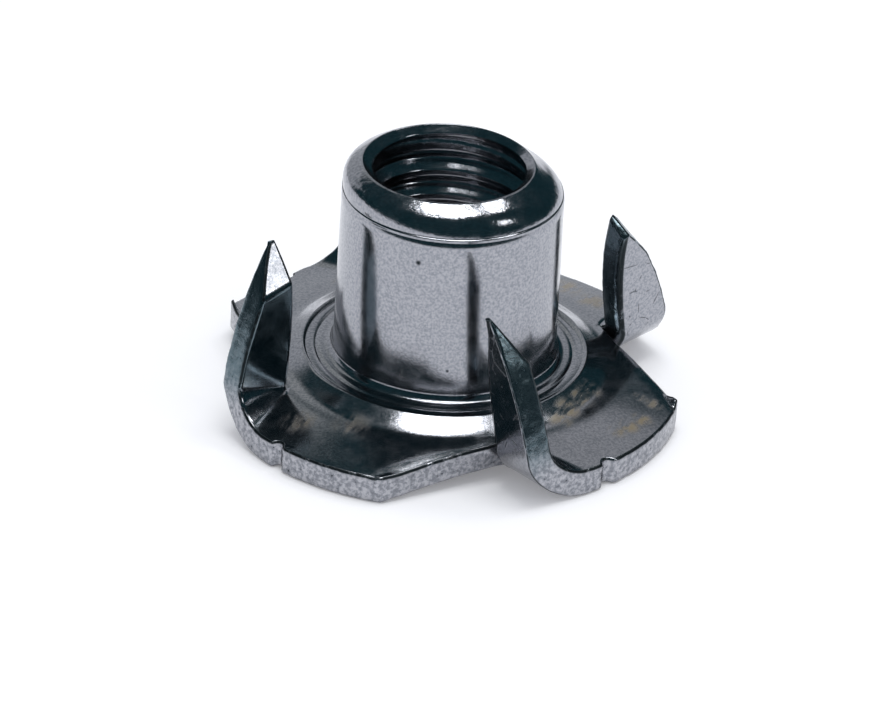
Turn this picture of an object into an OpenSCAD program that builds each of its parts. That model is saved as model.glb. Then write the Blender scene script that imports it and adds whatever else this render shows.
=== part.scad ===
// Four-prong tee nut: a drawn barrel on a dished flange.
// The flange's rim is sheared along four chords and folded up into four prongs that bite into timber.
// Frame: the barrel's axis is Z, the rim of the flange stands on z = 0, barrel and prongs point up.

/* [Flange] */
// Diameter over the rim of the flange
flange_d = 21.7; // [20:0.1:26]
// Thickness of the sheet
sheet_t = 1.25; // [0.9:0.05:1.5]
// Rise of the dished flange from its rim to the collar
dish_h = 0.95; // [0.4:0.05:1.4]
// Diameter of the raised collar round the foot of the barrel
collar_d = 12.9; // [11.8:0.1:14]
// Height of the collar's step above the dished flange
collar_step = 0.12; // [0.05:0.01:0.3]

/* [Barrel] */
// Outer diameter of the barrel
barrel_d = 10; // [9.4:0.1:10.8]
// Height of the whole nut, from the rim to the mouth of the barrel
total_h = 11.5; // [10:0.1:16]
// Diameter of the bore, as drilled for an M8 thread
bore_d = 6.8; // [5:0.1:7]
// Diameter of the countersink at the mouth
mouth_d = 7.7; // [7.2:0.1:8.2]
// Rounding of the lip at the mouth
lip_r = 0.85; // [0.4:0.05:0.9]
// Fillet at the foot of the barrel
foot_r = 0.35; // [0.1:0.05:0.6]
// Rounding of the drawn entry on the underside
entry_r = 1.1; // [0.5:0.1:1.4]

/* [Prongs] */
// Number of prongs
prong_count = 4; // [3:1:5]
// Bearing of the first prong's bend line
prong_bearing = 40; // [0:1:89]
// Inside radius of a prong's bend at the rim
bend_r = 2; // [1.2:0.1:2.6]
// Inside radius of a prong's bend at its root, where the shears stop
root_bend_r = 0.2; // [0.1:0.05:0.8]
// Thinning of the folded sheet on each of its faces
bend_thin = 0.06; // [0.05:0.01:0.09]
// Angle that a prong is folded through
fold_angle = 86; // [80:1:90]
// Height of a prong's tip above the rim's underside
prong_h = 8.4; // [6.5:0.1:9.5]
// Width of a prong at its bend
prong_w = 3; // [2.4:0.1:3.6]
// Distance of a prong's tip in from the rim
tip_inset = 3.6; // [3.2:0.05:4.4]
// Width left at a prong's point
tip_w = 0.25; // [0.1:0.05:0.6]
// Radius of a prong's curved back
back_r = 16; // [11:0.5:22]
// Length of the bevel that sharpens the tip
tip_bevel = 1.2; // [0.8:0.1:3]

/* [Shear cuts] */
// Angle round the rim from a bend line back to the sharp corner of the next sector
cut_angle = 52; // [45:0.1:56]
// Angle round the rim from a bend line to the relief nick beside it
nick_angle = 6; // [4:0.5:14]
// Radius of the relief nick
nick_r = 0.45; // [0.2:0.05:0.7]
// Depth of the relief nick
nick_depth = 0.28; // [0.1:0.02:0.5]

/* [Hidden] */
$fn = 96;
// Clear distance that a cutting shape runs past what it cuts
past = 2;
// Distance that a prong's strip runs on inside the flange
tuck_in = 0.4;
// Distance that a flat run of the strip goes on inside the bend, and how far its faces stand back there
lap = 0.15;
lap_step = 0.02;
steel = [0.62, 0.63, 0.66];

rim_r = flange_d / 2;
collar_r = collar_d / 2;
barrel_r = barrel_d / 2;
bore_r = bore_d / 2;
mouth_r = mouth_d / 2;
// Slope of the dished flange, and the sheet's height measured straight up through it
cone_angle = atan(dish_h / (rim_r - collar_r));
rim_h = sheet_t / cos(cone_angle);
collar_z = dish_h + rim_h + collar_step;

// Folded sheet: its thickness, and the blade's length from the line where its outer faces would meet
strip_t = sheet_t - 2 * bend_thin;
tip_rise = prong_h * cos(cone_angle) - tip_inset * sin(cone_angle);
blade_l = (tip_rise - bend_thin) / sin(fold_angle);
// The bend is part of a cone that touches both outer faces: how far it starts from where they would meet
rim_reach = (bend_r + sheet_t - bend_thin) * tan(fold_angle / 2);
root_reach = (root_bend_r + sheet_t - bend_thin) * tan(fold_angle / 2);
// Angle of the fold line to that meeting line, and the distance in from the rim to the cone's apex
fold_line_angle = atan((rim_reach - root_reach) * cos(cone_angle) / prong_w);
apex_reach = rim_reach / tan(fold_line_angle);
// Half angle of the cone, and the angle that the sheet turns through round its axis
bend_half_angle = atan(sin(fold_line_angle) * tan(90 - fold_angle / 2));
edge_cos = pow(cos(fold_line_angle), 2) - pow(sin(fold_line_angle), 2) * cos(fold_angle);
bend_sweep = acos((edge_cos - pow(cos(bend_half_angle), 2)) / pow(sin(bend_half_angle), 2));
// Place of a prong's root and tip, out from the axis and up, in the plane of its bend line
root = [rim_r - prong_w, dish_h * prong_w / (rim_r - collar_r) + rim_h];
tip = [rim_r - tip_inset, prong_h];
// Centre of the prong's curved back: an arc from the rim's top edge to the far side of the point
back_start = [rim_r, rim_h];
back_end = tip + tip_w * [1, -tan(cone_angle)];
back_chord = back_end - back_start;
back_reach = sqrt(back_r * back_r - back_chord * back_chord / 4);
back_side = [-back_chord.y, back_chord.x] / norm(back_chord);
back_centre = (back_start + back_end) / 2 + back_side * back_reach;

// Square corner less a quarter round: what a fillet takes off a corner that points to +x and +y
module corner_tool(r) {
    difference() {
        translate([-r, -r])
            square(r + past);
        translate([-r, -r])
            circle(r);
    }
}

// Half section of the barrel, its collar and the dished flange
module body_section() {
    difference() {
        polygon([
            [bore_r, dish_h],
            [collar_r, dish_h],
            [rim_r, 0],
            [rim_r, rim_h],
            [collar_r, dish_h + rim_h],
            [collar_r, collar_z],
            [barrel_r + foot_r, collar_z],
            [barrel_r + foot_r, collar_z + foot_r],
            [barrel_r, collar_z + foot_r],
            [barrel_r, total_h],
            [mouth_r, total_h],
            [bore_r, total_h - (mouth_r - bore_r)],
        ]);
        translate([barrel_r, total_h])
            corner_tool(lip_r);
        translate([barrel_r + foot_r, collar_z + foot_r])
            circle(foot_r);
        translate([bore_r, dish_h])
            rotate(180)
                corner_tool(entry_r);
    }
}

// Plan of what the shears open beside a prong, whose fold line runs from its root out to the rim on +x
module notch_plan() {
    fold_start = [root.x, root_reach - rim_reach];
    fold_end = [rim_r, 0];
    outward = (fold_end - fold_start) / norm(fold_end - fold_start);
    corner = rim_r * [cos(cut_angle), -sin(cut_angle)];
    heading = (corner - fold_start) / norm(corner - fold_start);
    polygon([
        fold_start,
        fold_end + past * outward,
        2 * (rim_r + past) * [cos(cut_angle / 2), -sin(cut_angle / 2)],
        corner + past * heading,
    ]);
}

// Runs its children at each prong, whose fold line meets the rim on +x
module at_each_prong() {
    for (i = [0 : prong_count - 1])
        rotate(prong_bearing + i * 360 / prong_count)
            children();
}

// Runs its children in the frame of the dished sheet at the rim, x outwards and z square to the sheet
module on_sheet() {
    translate([rim_r, 0, 0])
        rotate([0, cone_angle, 0])
            children();
}

// Strip of sheet from inside the flange, round the bend and straight up, wider than the prong cut from it
module folded_strip() {
    strip_w = prong_w + tip_inset + prong_h * sin(cone_angle) + past;
    past_reach = (apex_reach + past) * tan(fold_line_angle);
    on_sheet()
        translate([0, -rim_reach, bend_thin]) {
            translate([0, 0, lap_step])
                linear_extrude(strip_t - 2 * lap_step)
                    polygon([
                        [-apex_reach, -lap],
                        [past, past_reach - lap],
                        [past, past_reach + tuck_in],
                        [-apex_reach, tuck_in],
                    ]);
            translate([-apex_reach, 0, 0])
                rotate([0, 90 - bend_half_angle, fold_line_angle])
                    conical_bend();
            rotate([180 - fold_angle, 0, 0])
                difference() {
                    translate([0, 0, lap_step - strip_t])
                        linear_extrude(strip_t - 2 * lap_step)
                            polygon([
                                [-apex_reach, -lap],
                                [past, past_reach - lap],
                                [past, blade_l + past],
                                [-strip_w, blade_l + past],
                                [-strip_w, -lap],
                            ]);
                    tip_wedge(strip_w);
                }
        }
}

// Sheet rolled round a cone: the apex of its outer face is at the origin and its axis along +z
module conical_bend() {
    wall = strip_t * [-cos(bend_half_angle), sin(bend_half_angle)];
    along = [sin(bend_half_angle), cos(bend_half_angle)];
    near = 1.05 * strip_t / tan(bend_half_angle);
    far = (apex_reach + past) / cos(fold_line_angle);
    rotate(-bend_sweep)
        rotate_extrude(angle = bend_sweep)
            polygon([near * along, far * along, far * along + wall, near * along + wall]);
}

// Wedge that bevels the inner face of the strip to an edge at the height of the tip
module tip_wedge(width) {
    bevel_angle = atan(strip_t / tip_bevel);
    bevel_l = tip_bevel / cos(bevel_angle);
    translate([-width - past, blade_l, 0])
        rotate([bevel_angle, 0, 0])
            translate([0, -bevel_l - past, -2 * past])
                cube([width + 3 * past, bevel_l + 3 * past, 2 * past]);
}

// Side view of the prong, cut straight on its sheared edge and round on its back
module prong_side() {
    lean = (root - tip) / norm(root - tip);
    intersection() {
        translate(back_centre)
            circle(back_r, $fn = 240);
        polygon([
            tip - past * lean,
            root + 2 * past * lean,
            [rim_r + past, -past],
            [rim_r + past, prong_h + past],
        ]);
    }
}

// One prong: the strip cut to its side view and to the round of the rim
module prong() {
    intersection() {
        folded_strip();
        translate([0, tuck_in + past, 0])
            rotate([90, 0, 0])
                linear_extrude(tuck_in + 2 * past + rim_reach + blade_l)
                    prong_side();
        translate([0, 0, -past])
            cylinder(r = rim_r - bend_thin, h = prong_h + 2 * past, $fn = 240);
    }
}

// Small round bite in the rim that eases the sheet into the bend
module relief_nick() {
    rotate(nick_angle)
        translate([rim_r - nick_depth + nick_r, 0, -past])
            cylinder(r = nick_r, h = rim_h + 2 * past, $fn = 32);
}

module tee_nut() {
    color(steel) {
        difference() {
            rotate_extrude($fn = 240)
                body_section();
            at_each_prong() {
                translate([0, 0, -past])
                    linear_extrude(collar_z + 2 * past)
                        notch_plan();
                relief_nick();
            }
        }
        at_each_prong()
            prong();
    }
}

tee_nut();
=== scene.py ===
"""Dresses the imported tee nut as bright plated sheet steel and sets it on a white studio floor."""

import logging
import math
from dataclasses import dataclass, field
from enum import Enum
from typing import Any

import bpy
import numpy as np
from mathutils import Matrix, Vector, noise


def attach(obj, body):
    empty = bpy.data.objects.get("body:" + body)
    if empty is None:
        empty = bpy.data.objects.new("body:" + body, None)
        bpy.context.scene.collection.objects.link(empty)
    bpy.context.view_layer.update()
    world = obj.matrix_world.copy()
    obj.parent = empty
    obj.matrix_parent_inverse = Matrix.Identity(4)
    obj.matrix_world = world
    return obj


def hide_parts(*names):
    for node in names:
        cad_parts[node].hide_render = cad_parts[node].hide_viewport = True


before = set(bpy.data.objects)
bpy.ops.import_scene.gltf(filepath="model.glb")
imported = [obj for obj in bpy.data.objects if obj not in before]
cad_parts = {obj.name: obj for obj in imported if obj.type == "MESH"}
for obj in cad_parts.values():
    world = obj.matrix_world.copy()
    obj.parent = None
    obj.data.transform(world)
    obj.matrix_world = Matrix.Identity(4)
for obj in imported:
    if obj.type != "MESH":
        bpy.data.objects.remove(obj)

LOG = logging.getLogger("tee_nut")
MM = 0.001
NODE = "tee_nut"
BODY = "root"

# Short names for types: colours, places or ways, a radius with a height, named columns and node sockets
Colour = tuple[float, float, float]
Place = tuple[float, float, float]
Ring = tuple[float, float]
Table = dict[str, np.ndarray]
Socket = bpy.types.NodeSocket


class Mark(Enum):
    """Point attributes that the pressing carries from its grid to its finish."""

    SHEARED = "sheared"
    BORE = "bore"
    ACROSS = "across"
    OUTWARD = "outward"
    FOLD = "fold"
    WORN = "worn"
    INSIDE = "inside"


class Quarter(Enum):
    """The four prongs, in turn round the barrel, by the side that each stands on."""

    RIGHT_BACK = 0
    LEFT_BACK = 1
    LEFT_FRONT = 2
    RIGHT_FRONT = 3


def smooth(x: np.ndarray | float) -> np.ndarray:
    """Eases 0 to 1.

    Args:
        x: Values, clipped to 0 and 1.

    Returns:
        The eased values.
    """
    x = np.clip(x, 0.0, 1.0)
    return x * x * (3.0 - 2.0 * x)


def turn_round(points: np.ndarray, turn: np.ndarray) -> None:
    """Turns points about the barrel's axis, each by its own angle.

    Args:
        points: Places, which are moved.
        turn: Angle of each point, in radians.
    """
    c, s = np.cos(turn), np.sin(turn)
    points[:, :2] = np.stack([points[:, 0] * c - points[:, 1] * s, points[:, 0] * s + points[:, 1] * c], -1)


class NodeBench:
    """Adds nodes to one tree and links them."""

    def __init__(self, tree: bpy.types.NodeTree) -> None:
        """Keeps the tree."""
        self.tree = tree

    @classmethod
    def cleared(cls, owner: bpy.types.Material | bpy.types.World) -> "NodeBench":
        """Turns on the nodes of a material or world and empties its tree.

        Args:
            owner: The material or world.

        Returns:
            The bench of its tree.
        """
        owner.use_nodes = True
        owner.node_tree.nodes.clear()
        return cls(owner.node_tree)

    def node(self, kind: str, inputs: dict[Any, Any] | None = None, **settings: Any) -> bpy.types.Node:
        """Adds one node.

        Args:
            kind: Blender's name of the node's type.
            inputs: Values or output sockets by the input's name or number.
            settings: Properties of the node itself.

        Returns:
            The new node.
        """
        made = self.tree.nodes.new(kind)
        for name, value in settings.items():
            setattr(made, name, value)
        for key, value in (inputs or {}).items():
            self.feed(made.inputs[key], value)
        return made

    def feed(self, socket: Socket, value: Any) -> None:
        """Links a socket to an output, or sets its value.

        Args:
            socket: Input to feed.
            value: Output socket or plain value.
        """
        if isinstance(value, Socket):
            self.tree.links.new(value, socket)
        else:
            socket.default_value = value

    def math(self, operation: str, *values: Any, clamp: bool = False) -> Socket:
        """Adds a math node.

        Args:
            operation: Name of the operation.
            values: Numbers or sockets.
            clamp: Whether the result is held between 0 and 1.

        Returns:
            The result's socket.
        """
        made = self.node("ShaderNodeMath", dict(enumerate(values)), operation=operation, use_clamp=clamp)
        return made.outputs[0]

    def ease(self, value: Any, low: float, high: float, to_low: float = 0.0, to_high: float = 1.0) -> Socket:
        """Maps a range smoothly onto another.

        Args:
            value: Number or socket to map.
            low: Start of its range.
            high: End of its range.
            to_low: Result at the start.
            to_high: Result at the end.

        Returns:
            The result's socket.
        """
        made = self.node("ShaderNodeMapRange", {0: value, 1: low, 2: high, 3: to_low, 4: to_high})
        made.interpolation_type = "SMOOTHSTEP"
        return made.outputs[0]

    def mix(self, share: Any, first: Any, second: Any) -> Socket:
        """Mixes two colours.

        Args:
            share: Share of the second colour.
            first: Colour or socket.
            second: Colour or socket.

        Returns:
            The mixed colour's socket.
        """
        made = self.node("ShaderNodeMix", data_type="RGBA")
        self.feed(made.inputs[0], share)
        for socket, value in ((made.inputs[6], first), (made.inputs[7], second)):
            self.feed(socket, (*value, 1.0) if isinstance(value, tuple) else value)
        return made.outputs[2]

    def cloud(self, place: Socket, waves: float, detail: float) -> Socket:
        """Adds a noise.

        Args:
            place: Coordinates.
            waves: Waves in a metre.
            detail: Number of finer layers.

        Returns:
            The noise's socket.
        """
        inputs = {"Vector": place, "Scale": waves, "Detail": detail, "Roughness": 0.6}
        return self.node("ShaderNodeTexNoise", inputs).outputs[0]


@dataclass
class GridMesh:
    """Vertices, faces and point marks that a pressing is gathered from, in millimetres."""

    points: list[np.ndarray] = field(default_factory=list)
    faces: list[np.ndarray] = field(default_factory=list)
    marks: dict[Mark, list[np.ndarray]] = field(default_factory=lambda: {mark: [] for mark in Mark})
    count: int = 0

    def add(self, points: np.ndarray, marks: dict[Mark, Any] | None = None) -> np.ndarray:
        """Adds a grid of points.

        Args:
            points: Array whose last axis holds x, y and z.
            marks: A number or an array for each mark that isn't 0.

        Returns:
            The points' numbers, in the grid's shape.
        """
        shape = points.shape[:-1]
        amount = int(np.prod(shape))
        self.points.append(points.reshape(-1, 3))
        for mark in Mark:
            value = (marks or {}).get(mark, 0.0)
            self.marks[mark].append(np.broadcast_to(value, shape).reshape(-1).astype(np.float32))
        numbers = np.arange(self.count, self.count + amount).reshape(shape)
        self.count += amount
        return numbers

    def skin(self, grid: np.ndarray, turned: bool = False) -> None:
        """Covers a grid of point numbers with four-sided faces.

        Args:
            grid: Point numbers in two directions.
            turned: Whether the faces look the other way.
        """
        quads = np.stack([grid[:-1, :-1], grid[:-1, 1:], grid[1:, 1:], grid[1:, :-1]], -1).reshape(-1, 4)
        self.faces.append(quads[:, ::-1] if turned else quads)

    def to_mesh(self, name: str) -> bpy.types.Mesh:
        """Makes a mesh of what was gathered.

        Args:
            name: Name of the mesh.

        Returns:
            The mesh, in millimetres, with its marks as point attributes.
        """
        mesh = bpy.data.meshes.new(name)
        points = np.concatenate(self.points)
        faces = np.concatenate(self.faces)
        mesh.from_pydata(points.tolist(), [], faces.tolist())
        for mark in Mark:
            attribute = mesh.attributes.new(mark.value, "FLOAT", "POINT")
            attribute.data.foreach_set("value", np.concatenate(self.marks[mark]))
        mesh.update()
        return mesh


@dataclass
class BarrelProfile:
    """Half section of the barrel, from the flange's top over the lip, down the bore and out underneath."""

    # Outside, and the grooved top of the collar by radius and by height over the collar
    radius: float = 5.0
    taper: float = 0.012
    height: float = 11.5
    collar_z: float = 2.35
    collar_rings: tuple[Ring, ...] = (
        (6.38, -0.025), (6.3, -0.005), (6.1, 0.005), (5.96, -0.002),
        (5.9, -0.035), (5.86, -0.035), (5.8, 0.005), (5.6, 0.012),
    )
    foot_r: float = 0.4
    foot_step: float = 0.015
    # Line under the lip, by depth and by height over it, then the lip and its sloping crest
    lip_line_z: float = 10.33
    lip_line_gap: float = 0.07
    lip_line: tuple[Ring, ...] = ((0.035, -0.01), (0.035, 0.02), (0.012, 0.075), (0.02, 0.17))
    lip_r: float = 0.95
    lip_inset: float = 0.015
    lip_from_deg: float = 6.0
    crest_deg: float = 27.0
    crest_shares: tuple[float, ...] = (0.3, 0.6, 0.85)
    # Mouth, by steps out from it and down from the top, then the bore and its entry underneath
    mouth_r: float = 3.82
    mouth_edge: float = 0.06
    mouth_rings: tuple[Ring, ...] = ((0.02, 0.03), (0.0, 0.08))
    mouth_bevel: Ring = (0.12, 0.22)
    mouth_depth: float = 0.3
    bore_r: float = 3.4
    entry_r: float = 1.1
    under_z: float = 0.95
    under_step: float = 0.45
    # Rows of the grid
    foot_rows: int = 6
    side_rows: int = 24
    lip_rows: int = 12
    bore_rows: int = 150
    entry_rows: int = 8
    under_rows: int = 3

    def side(self, z: float) -> float:
        """Outer radius of the barrel at a height."""
        return self.radius + self.taper * (self.height - z)

    def outside(self) -> list[Ring]:
        """Lists the profile from the collar up to the lip.

        Returns:
            Radius and height of each point.
        """
        rings = [(r, self.collar_z + step) for r, step in self.collar_rings]
        foot, base = self.side(self.collar_z), self.collar_z + self.foot_step
        for row in range(self.foot_rows + 1):
            turn = math.radians(90 * row / self.foot_rows)
            out, up = self.foot_r * (1 - math.sin(turn)), self.foot_r * (1 - math.cos(turn))
            rings.append((foot + out, base + up))
        low = self.collar_z + self.foot_r + self.foot_step
        for row in range(1, self.side_rows + 1):
            z = low + (self.lip_line_z - self.lip_line_gap - low) * row / self.side_rows
            rings.append((self.side(z), z))
        edge = self.side(self.lip_line_z)
        return rings + [(edge - depth, self.lip_line_z + step) for depth, step in self.lip_line]

    def lip(self) -> list[Ring]:
        """Lists the profile over the lip and into the mouth.

        Returns:
            Radius and height of each point.
        """
        start, crest = math.radians(self.lip_from_deg), math.radians(self.crest_deg)
        edge = (self.mouth_r + self.mouth_edge, self.height)
        centre = self.radius - self.lip_inset - self.lip_r
        join = centre + self.lip_r * math.sin(crest)
        join_z = edge[1] - (join - edge[0]) * math.tan(crest)
        centre_z = join_z - self.lip_r * math.cos(crest)
        rings = []
        for row in range(self.lip_rows + 1):
            turn = start + (math.pi / 2 - crest - start) * row / self.lip_rows
            rings.append((centre + self.lip_r * math.cos(turn), centre_z + self.lip_r * math.sin(turn)))
        for share in self.crest_shares:
            rings.append((join + (edge[0] - join) * share, join_z + (edge[1] - join_z) * share))
        rings += [edge] + [(self.mouth_r + out, self.height - down) for out, down in self.mouth_rings]
        return rings + [(self.bore_r + self.mouth_bevel[0], self.height - self.mouth_bevel[1])]

    def bore(self) -> list[Ring]:
        """Lists the plain bore that the thread is cut into.

        Returns:
            Radius and height of each point.
        """
        top, low, last = self.height - self.mouth_depth, self.under_z + self.entry_r, self.bore_rows - 1
        return [(self.bore_r, top + (low - top) * row / last) for row in range(self.bore_rows)]

    def under(self) -> list[Ring]:
        """Lists the rounded entry and the underside out to the flange.

        Returns:
            Radius and height of each point.
        """
        rings = []
        for row in range(1, self.entry_rows + 1):
            turn = math.radians(90 * row / self.entry_rows)
            out, up = self.entry_r * (1 - math.cos(turn)), self.entry_r * (1 - math.sin(turn))
            rings.append((self.bore_r + out, self.under_z + up))
        end = self.bore_r + self.entry_r
        return rings + [(end + self.under_step * row, self.under_z) for row in range(1, self.under_rows + 1)]


@dataclass
class Pressing:
    """The drawn and folded sheet: one quarter, repeated round the axis. Sizes in millimetres."""

    # Dished flange, the coined zone and valley round its collar, and the bow of its grid's rings
    rim_r: float = 10.85
    sheet_t: float = 1.25
    dish_h: float = 0.95
    collar_r: float = 6.45
    collar_rise: float = 0.24
    rise_w: float = 1.15
    valley: float = 0.07
    valley_w: float = 0.55
    ring_dip: float = 0.6
    dip_share: float = 0.3
    dip_end_deg: float = 8.0
    # Sheet rolled down beside the sheared chord
    roll_w: float = 0.8
    roll_h: float = 0.12
    roll_from: float = 0.3
    roll_ease: float = 1.2
    # Prongs, folded on a bend that is tight at the root and round at the rim
    prong_w: float = 3.0
    prong_h: float = 8.4
    tip_inset: float = 3.6
    tip_w: float = 0.25
    tip_bevel: float = 1.2
    tip_t: float = 0.12
    bend_r: float = 2.0
    root_bend_r: float = 0.2
    fold_deg: float = 86.0
    back_r: float = 16.0
    bulge: float = 0.25
    least_w: float = 0.03
    # Shear cuts and the relief nicks beside the bends
    cut_deg: float = 52.0
    cut_ease: float = 0.12
    nick_deg: float = 6.0
    nick_r: float = 0.45
    nick_depth: float = 0.28
    # Edges: rounding, the rolled underside, the way out at a root, and the wall's rows by turn and tear
    edge_r: float = 0.12
    tip_edge: float = 0.4
    least_edge: float = 0.012
    rollover: float = 0.34
    root_way: Place = (0.82, -0.57, 0.0)
    top_round: tuple[Ring, ...] = ((30, 0.3), (60, 0.55), (90, 0.85))
    wall_shares: tuple[float, ...] = (0.2, 0.4, 0.6, 0.8)
    under_round: tuple[Ring, ...] = ((90, 1.0), (60, 0.9), (30, 0.6))
    # Grid
    columns: int = 60
    inner_rows: int = 8
    outer_rows: int = 24
    bend_rows: int = 16
    blade_rows: int = 30
    ease_rows: int = 4
    barrel: BarrelProfile = field(default_factory=BarrelProfile)

    def __post_init__(self) -> None:
        """Works out the sizes that follow from the others."""
        self.slope = math.atan(self.dish_h / (self.rim_r - self.collar_r))
        self.rim_h = self.sheet_t / math.cos(self.slope)
        self.rows = self.inner_rows + self.outer_rows
        self.fold = math.radians(self.fold_deg)
        self.rim_reach = (self.bend_r + self.sheet_t) * math.tan(self.fold / 2)
        self.root_reach = (self.root_bend_r + self.sheet_t) * math.tan(self.fold / 2)
        self.root = np.array([self.rim_r - self.prong_w, self.root_reach - self.rim_reach])
        self.next_root = np.array([-self.root[1], self.root[0]])
        self.root_r = float(np.linalg.norm(self.root))
        self.root_turn = math.atan2(self.root[1], self.root[0])
        turn = math.radians(90 - self.cut_deg)
        self.chord = self.rim_r * np.array([math.cos(turn), math.sin(turn)]) - self.next_root
        rise = self.prong_h * math.cos(self.slope) - self.tip_inset * math.sin(self.slope)
        self.blade_l = rise / math.sin(self.fold) - 0.5 * self.edge_r

    def under_z(self, r: np.ndarray) -> np.ndarray:
        """Height of the flange's underside at a radius."""
        return self.dish_h * (self.rim_r - r) / (self.rim_r - self.collar_r)

    def top_z(self, r: np.ndarray) -> np.ndarray:
        """Height of the flange's top at a radius: a cone that steepens towards the collar.

        Args:
            r: Radii.

        Returns:
            The heights.
        """
        foot = self.collar_r + self.rise_w
        rise = self.collar_rise * np.clip((foot - r) / self.rise_w, 0, 1) ** 1.5
        valley = self.valley * np.exp(-(((r - foot) / self.valley_w) ** 2))
        return self.under_z(r) + self.rim_h + rise - valley

    def cut_line(self) -> np.ndarray:
        """Points along the sheared chord at the sector's far end, from the next root to the sharp corner.

        Returns:
            One point in plan for each outer row, the root among them.
        """
        out = np.array([-self.chord[1], self.chord[0]]) / np.linalg.norm(self.chord)
        share = np.linspace(0, 1, self.outer_rows + 1)
        inset = self.edge_r * smooth(share / self.cut_ease)
        line = self.next_root + share[:, None] * self.chord - inset[:, None] * out
        line[-1] *= (self.rim_r - self.edge_r) / np.linalg.norm(line[-1])
        return line

    def from_chord(self, plan: np.ndarray) -> np.ndarray:
        """Distance of points in plan from the sheared chord, eased away near its root.

        Args:
            plan: Places in plan.

        Returns:
            The distances.
        """
        along = self.chord / np.linalg.norm(self.chord)
        away = plan - self.next_root
        inside = away[..., 0] * along[1] - away[..., 1] * along[0]
        return np.abs(inside) + self.roll_w * (1 - smooth((away @ along - self.roll_from) / self.roll_ease))

    def plan(self) -> np.ndarray:
        """Grid of the sector in plan, from its bend line round to its sheared chord.

        Returns:
            Array of columns, rows and x, y.
        """
        u = np.linspace(0, 1, self.columns + 1)[:, None]
        inner = np.linspace(self.collar_r, self.root_r, self.inner_rows + 1)
        out = np.linspace(0, 1, self.outer_rows + 1)[1:]
        rim_end = np.array([self.rim_r - self.edge_r, 0.0])
        fold_line = self.root + out[:, None] * (rim_end - self.root)
        line = self.cut_line()[1:]
        flat = np.full(self.inner_rows + 1, self.root_turn)
        start_r = np.concatenate([inner, np.linalg.norm(fold_line, axis=1)])
        start_turn = np.concatenate([flat, np.arctan2(fold_line[:, 1], fold_line[:, 0])])
        end_r = np.concatenate([inner, np.linalg.norm(line, axis=1)])
        end_turn = np.concatenate([flat + math.pi / 2, np.arctan2(line[:, 1], line[:, 0])])
        end = np.clip((1 - u) * 90 / self.dip_end_deg, 0, 1) ** 0.7
        dip = self.ring_dip * smooth(u / self.dip_share) * end
        fade = np.concatenate([np.linspace(0, 1, self.inner_rows + 1), (1 - out) ** 2])
        r = start_r * (1 - u) + end_r * u - dip * fade
        turn = start_turn * (1 - u) + end_turn * u
        away = self.rim_r * np.abs(turn - math.radians(self.nick_deg))
        bite = np.sqrt(np.clip(self.nick_r**2 - away**2, 0, None)) - (self.nick_r - self.nick_depth)
        share = np.concatenate([np.zeros(self.inner_rows + 1), out**4])
        r = r - np.clip(bite, 0, None) * share
        return np.stack([r * np.cos(turn), r * np.sin(turn)], -1)

    def strip(self) -> Table:
        """Rows along the folded strip, round the bend and up the blade.

        Returns:
            Angle folded through, share of the blade, thickness, share of the bevel and of the length, by row.
        """
        turn = np.linspace(0, self.fold, self.bend_rows + 1)
        turn = np.concatenate([turn, np.full(self.blade_rows, self.fold)])
        up = np.concatenate([np.zeros(self.bend_rows + 1), np.linspace(0, 1, self.blade_rows + 1)[1:] ** 0.9])
        left = (1 - up) * (self.blade_l - self.rim_reach)
        worn = np.clip(1 - left / self.tip_bevel, 0, 1)
        length = self.rim_reach * (turn / self.fold) + up * (self.blade_l - self.rim_reach)
        t = self.sheet_t - (self.sheet_t - self.tip_t) * worn
        return {"turn": turn, "up": up, "t": t, "worn": worn, "share": length / length[-1]}

    def section(self, strip: Table, along: np.ndarray, lift: float) -> tuple[np.ndarray, np.ndarray]:
        """Places on the folded strip: a bend, tight at the root and round at the rim, then a flat blade.

        Args:
            strip: Rows of the strip.
            along: Place of each point along the slope from the rim, with the rows first.
            lift: Share of the thickness, from the outer face to the inner.

        Returns:
            Place round from the rim's end of the fold line, and height above the sloped sheet.
        """
        rows = {name: value.reshape(-1, *[1] * (along.ndim - 1)) for name, value in strip.items()}
        tight = np.clip(-along * math.cos(self.slope) / self.prong_w, 0, 1)
        reach = self.rim_reach + (self.root_reach - self.rim_reach) * tight
        radius = reach / math.tan(self.fold / 2)
        y = -self.rim_reach + reach - radius * np.sin(rows["turn"])
        z = radius * (1 - np.cos(rows["turn"]))
        climb = rows["up"] * (self.blade_l - reach)
        y = y - climb * math.cos(self.fold) + lift * rows["t"] * np.sin(rows["turn"])
        z = z + climb * math.sin(self.fold) + lift * rows["t"] * np.cos(rows["turn"])
        return y, z

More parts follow.
